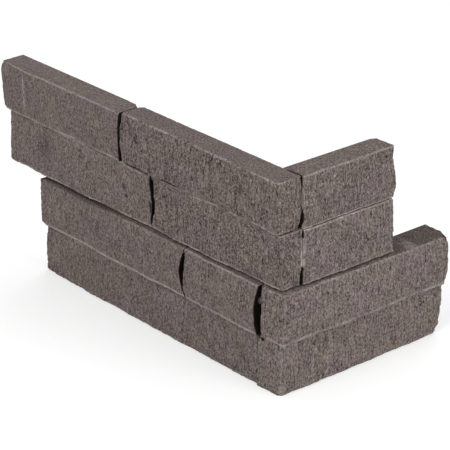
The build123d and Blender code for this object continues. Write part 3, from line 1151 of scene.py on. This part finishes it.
@dataclass
class Bond:
    """The resin of the beds and of the upright joints."""

    beds: tuple[str, ...] = ("base_bed_resin", "middle_bed_resin", "top_bed_resin")
    joints: tuple[Resin, ...] = (
        Resin("top_face_joint_resin", 301),
        Resin(
            "top_corner_joint_resin", 302, smear=0.36, lump=0.05, voxel=0.2,
            arm=Arm.RETURN, flush=0.8, gaps=(Gap(100.0, 132.5), Gap(138.0, 160.0, 5.0)),
        ),
        Resin("upper_face_joint_resin", 303),
        Resin(
            "upper_corner_joint_resin", 304, smear=1.0, lump=0.1, voxel=0.2,
            arm=Arm.RETURN, flush=0.4, gaps=(Gap(70.0, 89.5), Gap(109.5, 120.0)),
        ),
        Resin("lower_face_joint_resin", 305),
        Resin("lower_corner_joint_resin", 306),
        Resin(
            "base_corner_joint_resin", 307, smear=0.36, lump=0.05, voxel=0.2,
            flush=1.3, gaps=(Gap(-5.0, 2.5), Gap(7.5, 12.5, 3.0, 3.0)),
        ),
    )

    def build(self) -> None:
        """Builds the joints' fills and dresses the thin beds as they are."""
        material = ResinFinish("cured_resin").material()
        for joint in self.joints:
            made = joint.build(material)
            log.info("bond: %s, %d faces", made.name, len(made.data.polygons))
        for node in self.beds:
            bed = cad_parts[node]
            bed.data.materials.clear()
            bed.data.materials.append(material)
            log.info("bond: %s", node)


@dataclass(frozen=True)
class Lamp:
    """A square soft lamp that looks at the piece. Lengths are in metres."""

    name: str
    azimuth: float
    elevation: float
    distance: float
    side: float
    watts: float

    def build(self, aim: Vector) -> None:
        """Hangs the lamp.

        Args:
            aim: What it looks at, in metres.
        """
        turn, lift = math.radians(self.azimuth), math.radians(self.elevation)
        level = math.cos(lift)
        away = Vector((math.sin(turn) * level, -math.cos(turn) * level, math.sin(lift)))
        data = bpy.data.lights.new(self.name, "AREA")
        data.shape = "SQUARE"
        data.size = self.side
        data.energy = self.watts
        lamp = bpy.data.objects.new(self.name, data)
        lamp.location = aim + away * self.distance
        lamp.rotation_euler = away.to_track_quat("Z", "Y").to_euler()
        bpy.context.scene.collection.objects.link(lamp)


@dataclass(frozen=True)
class Studio:
    """The pale floor, the soft light and the camera. Lengths are in metres."""

    floor_side: float = 12.0
    floor_drop: float = 0.0002
    floor_colour: Colour = (0.62, 0.62, 0.62)
    floor_glow: float = 0.42
    sky: float = 0.62
    aim: Point = (-0.07944, 0.01985, 0.07999)
    eye: Point = (0.96576, -0.87026, 0.69189)
    lens: float = 176.7
    sensor: float = 36.0
    far: float = 50.0
    lamps: tuple[Lamp, ...] = (
        Lamp("key", azimuth=15.0, elevation=42.0, distance=1.6, side=0.8, watts=13.3),
        Lamp("fill", azimuth=98.0, elevation=25.0, distance=1.8, side=1.0, watts=14.8),
        Lamp("rim", azimuth=215.0, elevation=45.0, distance=1.9, side=1.2, watts=8.0),
    )

    def build(self) -> None:
        """Sets up the floor, the world, the lamps and the camera."""
        self._floor()
        self._world()
        for lamp in self.lamps:
            lamp.build(Vector(self.aim))
        self._camera()

    def _floor(self) -> None:
        """Lays the floor under the piece."""
        mesh = bpy.data.meshes.new("floor")
        half = self.floor_side / 2.0
        corners = [(-half, -half, 0.0), (half, -half, 0.0), (half, half, 0.0), (-half, half, 0.0)]
        mesh.from_pydata(corners, [], [(0, 1, 2, 3)])
        s = Shader(bpy.data.materials.new("floor_paper"))
        path = s.node("LightPath").outputs
        seen = Value(s, path["Is Camera Ray"]) + Value(s, path["Is Glossy Ray"])
        white = (1.0, 1.0, 1.0, 1.0)
        matt = s.node("BsdfDiffuse", inputs={"Color": (*self.floor_colour, 1.0)})
        glow = s.node("Emission", inputs={"Color": white, "Strength": seen * self.floor_glow})
        both = s.node("AddShader", inputs={0: matt.outputs[0], 1: glow.outputs[0]})
        s.node("OutputMaterial", inputs={"Surface": both.outputs[0]})
        mesh.materials.append(s.owner)
        floor = bpy.data.objects.new("floor", mesh)
        floor.location.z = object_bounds()[0].z - self.floor_drop
        bpy.context.scene.collection.objects.link(floor)
        floor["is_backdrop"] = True

    def _world(self) -> None:
        """Lights the piece evenly from all round, and shows the camera a paler ground."""
        s = Shader(bpy.data.worlds.new("studio"))
        seen = Value(s, s.node("LightPath").outputs["Is Camera Ray"])
        back = s.node("Background", inputs={"Strength": self.sky + (1.0 - self.sky) * seen})
        s.node("OutputWorld", inputs={"Surface": back.outputs[0]})
        bpy.context.scene.world = s.owner

    def _camera(self) -> None:
        """Places the camera at the photograph's viewpoint."""
        data = bpy.data.cameras.new("camera")
        data.lens = self.lens
        data.sensor_width = self.sensor
        data.clip_end = self.far
        camera = bpy.data.objects.new("camera", data)
        eye, aim = Vector(self.eye), Vector(self.aim)
        camera.location = eye
        camera.rotation_euler = (eye - aim).to_track_quat("Z", "Y").to_euler()
        bpy.context.scene.collection.objects.link(camera)
        bpy.context.scene.camera = camera


TOP = Course(
    "top",
    (
        Stone(
            "top_end_stone", Arm.LONG, 11, streak=0.7, tint_and_painted_light=1.01, grain=0.78,
            head_line=0.5, foot_line=0.9, whole=0.35, bonded=(Bonded.STOP,),
            dents=(
                # Bare ridge where the oblique break meets the split face
                Dent((-256.0, -19.5, 137.0), (1.3, 3.0, 17.0), bare_and_painted_light=0.9, core=0.5),
            ),
        ),
        Stone(
            "top_corner_stone", Arm.LONG, 12, streak=1.35, tint_and_painted_light=0.905, grain=1.05,
            head_line=0.5, foot_line=0.7, bonded=(Bonded.START,),
            dents=(
                # Painted shadow along stretches of the bed below, over a slight dent
                Dent((-128.0, -18.0, 116.3), (20.0, 4.0, 1.9), depth=0.3, joint_dark_and_painted_shade=0.9, core=0.6),
                Dent((-92.0, -18.0, 116.3), (15.0, 4.0, 1.9), depth=0.3, joint_dark_and_painted_shade=0.9, core=0.6),
                # Dark edge of the corner joint on the top
                Dent((10.0, 0.4, 152.4), (9.0, 0.9, 1.5), joint_dark_and_painted_shade=0.85, core=0.5),
                # Knob that narrows the corner joint
                Dent((18.0, -1.2, 125.0), (3.0, 2.6, 7.0), depth=-1.2),
                # Upright furrows, with painted shade in them
                Dent((-20.0, -18.5, 138.0), (2.4, 3.0, 13.0), depth=0.7, joint_dark_and_painted_shade=0.4),
                Dent((-50.0, -18.5, 142.0), (2.0, 3.0, 10.0), depth=0.6, joint_dark_and_painted_shade=0.35),
                Dent((-71.5, -18.5, 139.5), (2.0, 3.0, 9.0), depth=0.5, joint_dark_and_painted_shade=0.35),
            ),
        ),
        # Foot line whole and strong: painted light that lifts the shade of its down-turned bevel
        Stone(
            "top_return_stone", Arm.RETURN, 13, streak=1.2, tint_and_painted_light=0.935, head_line=0.4,
            foot_line=1.0, foot_reach=1.3, whole=0.7, bonded=(Bonded.START,), lip=3.0,
            gaps=(Gap(115.5, 133.0, 7.0, 8.0), Gap(132.0, 190.0, 46.0)),
            dents=(
                # Dark edge of the corner joint on the top
                Dent((11.5, 1.0, 152.4), (9.0, 1.0, 1.5), joint_dark_and_painted_shade=0.85, core=0.5),
                # Painted light on the lip of the corner joint, lifting the shade of its crease
                Dent((19.2, 0.9, 137.5), (3.0, 0.9, 9.0), bare_and_painted_light=0.4, core=0.6),
                Dent((19.0, 0.9, 118.0), (2.5, 0.9, 6.0), bare_and_painted_light=0.3, core=0.6),
            ),
        ),
    ),
)
UPPER = Course(
    "upper",
    (
        Stone(
            "upper_end_stone", Arm.LONG, 21, streak=0.7, tint_and_painted_light=1.01, grain=0.92,
            foot_line=0.9, bonded=(Bonded.STOP,),
            dents=(
                # Broad hollow, deepest in the middle, with painted shade in it
                Dent((-234.0, -17.0, 101.0), (5.0, 6.0, 12.0), depth=0.8, joint_dark_and_painted_shade=0.4),
                Dent((-238.0, -17.0, 98.0), (18.0, 8.0, 17.0), depth=0.3, joint_dark_and_painted_shade=0.25),
                # Two small pits, with painted shade in them
                Dent((-143.5, -17.0, 98.0), (2.6, 4.0, 4.5), depth=0.9, joint_dark_and_painted_shade=0.6),
                Dent((-140.5, -17.0, 91.5), (2.4, 4.0, 4.0), depth=0.9, joint_dark_and_painted_shade=0.6),
                # Bare stretch of the head
                Dent((-130.0, -17.0, 113.6), (17.0, 3.5, 1.1), bare_and_painted_light=0.7, core=0.5),
                # Dark notch in the joint's lip
                Dent((-114.9, -17.0, 91.0), (1.7, 3.0, 6.5), depth=0.4, joint_dark_and_painted_shade=0.9, core=0.5),
            ),
        ),
        Stone(
            "upper_corner_stone", Arm.LONG, 22, streak=1.15, tint_and_painted_light=0.905, grain=1.12,
            foot_line=0.9, whole=0.35, bonded=(Bonded.START,),
            dents=(
                # Pale lip of the corner joint
                Dent((19.4, 0.4, 98.2), (2.4, 1.3, 13.0), bare_and_painted_light=1.0, core=0.4),
            ),
        ),
        Stone(
            "upper_return_stone", Arm.RETURN, 23, streak=1.1, tint_and_painted_light=1.0, grain=1.06,
            head_line=0.8, foot_line=0.6, whole=0.35, nicked=0.3, bonded=(Bonded.START,),
            lip=3.0, gaps=(Gap(70.0, 89.5), Gap(109.5, 120.0)),
            dents=(
                # Pale lip of the corner joint
                Dent((20.3, 1.2, 98.2), (2.6, 1.4, 12.0), bare_and_painted_light=1.0, core=0.5),
                Dent((20.3, 2.2, 103.5), (2.6, 1.8, 3.5), bare_and_painted_light=0.9, core=0.3),
            ),
        ),
    ),
)
LOWER = Course(
    "lower",
    (
        # Foot line wide and whole: painted light over the shade along the bed below
        Stone(
            "lower_end_stone", Arm.LONG, 31, streak=0.9, tint_and_painted_light=0.99, grain=0.86,
            head_line=0.2, foot_line=0.85, foot_reach=2.6, whole=0.8, ledge_painted_shade=0.4,
            bonded=(Bonded.STOP,), lip=3.0, gaps=(Gap(30.0, 71.5),),
            dents=(
                # Pale bruise
                Dent((-217.0, -19.0, 51.0), (11.0, 6.0, 9.0), bare_and_painted_light=0.22),
                # Painted shadow on the ledge under the course above
                Dent((-240.0, -19.0, 74.5), (8.0, 6.0, 2.4), joint_dark_and_painted_shade=0.9),
                Dent((-198.0, -18.0, 74.9), (55.0, 6.0, 2.4), joint_dark_and_painted_shade=0.5, core=0.6),
            ),
        ),
        # Foot line wide: painted light over the shade along the bed below
        Stone(
            "lower_inner_stone", Arm.LONG, 32, streak=0.9, tint_and_painted_light=1.01, grain=0.9,
            head_line=0.45, foot_line=0.7, foot_reach=2.4, whole=0.7, ledge_painted_shade=0.2,
            bonded=(Bonded.START, Bonded.STOP),
            dents=(
                # Knob in the open corner joint, spared its darkening, with bare colour
                Dent(
                    (-4.0, -14.0, 62.3), (1.8, 2.4, 4.0),
                    depth=-1.4, bare_and_painted_light=0.5, clean=1.0, core=0.5,
                ),
            ),
        ),
        LedgeStone(
            "lower_return_stone", Arm.RETURN, 33, streak=1.2, tint_and_painted_light=1.06,
            head_line=0.25, foot_line=0.65, foot_reach=3.0, whole=0.35, nicked=0.4,
            dents=(
                # Rubbed corner at the head
                Dent((9.5, -18.5, 74.5), (3.4, 2.6, 2.4), bare_and_painted_light=0.9),
                # Pale edge and middle of the paler patch on the ledge
                Dent((11.0, 103.2, 74.9), (12.0, 0.9, 2.0), bare_and_painted_light=0.5, core=0.4),
                Dent((15.5, 98.5, 74.9), (7.0, 6.0, 2.0), bare_and_painted_light=0.45),
                # Far corner, broken round
                Dent((22.8, 133.0, 74.9), (9.0, 9.0, 8.0), depth=2.8),
                # Upright furrow, with painted shade in it
                Dent((22.5, 89.0, 50.0), (3.0, 2.0, 12.0), depth=0.4, joint_dark_and_painted_shade=0.35),
            ),
        ),
    ),
)
BASE = Course(
    "base",
    (
        Stone(
            "base_face_stone", Arm.LONG, 41, streak=0.95, tint_and_painted_light=0.995, grain=0.87,
            foot_line=0.3, bonded=(Bonded.STOP,), lip=3.6,
            gaps=(Gap(-5.0, 2.5), Gap(7.5, 12.5, 3.0, 3.0)),
            dents=(
                # Painted light on the lip of the corner joint, lifting the shade of its crease
                Dent((-4.8, -16.2, 25.5), (1.3, 2.4, 12.0), bare_and_painted_light=0.3, core=0.6),
                # Bare stretches of the head, partly painted light over the shadow under the course
                # above
                Dent((-160.0, -16.4, 36.5), (78.0, 3.0, 1.2), bare_and_painted_light=0.55, core=0.6),
                Dent((-45.0, -16.4, 36.5), (44.0, 3.0, 1.2), bare_and_painted_light=0.55, core=0.6),
            ),
        ),
        # Tint raised as painted light, for light its faces lack from below
        Stone(
            "base_return_stone", Arm.RETURN, 42, streak=1.2, tint_and_painted_light=1.09, foot_line=0.3,
            dents=(
                # Rubbed corner, most of all at the foot
                Dent((16.5, -14.5, 5.0), (3.8, 3.8, 9.5), bare_and_painted_light=0.9),
                Dent((18.3, -16.0, 27.0), (2.2, 2.2, 14.0), bare_and_painted_light=0.5),
                # Far foot, broken round
                Dent((19.0, 131.5, 0.5), (9.0, 6.0, 6.0), depth=2.0, core=0.3),
                # Dark tail of the open joint above
                Dent((-3.3, -16.4, 37.6), (1.7, 3.0, 1.4), depth=0.8, joint_dark_and_painted_shade=1.0, core=0.7),
                Dent((-1.6, -16.4, 36.5), (2.2, 3.0, 1.7), depth=0.8, joint_dark_and_painted_shade=1.0, core=0.7),
                Dent((0.2, -16.4, 35.3), (1.4, 3.0, 1.3), depth=0.8, joint_dark_and_painted_shade=1.0, core=0.7),
            ),
        ),
    ),
)


def corners(box: tuple[Vector, Vector]) -> list[list[float]]:
    """Writes a box as two plain lists."""
    return [list(box[0]), list(box[1])]


def main() -> None:
    """Builds the courses from the top down, the bond between them, and the studio."""
    logging.basicConfig(level=logging.INFO, format="%(name)s: %(message)s")
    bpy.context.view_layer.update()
    for course in (TOP, UPPER, LOWER, BASE):
        course.build()
    Bond().build()
    Studio().build()
    bpy.context.scene.view_settings.view_transform = "Standard"


if __name__ == "__main__":
    main()
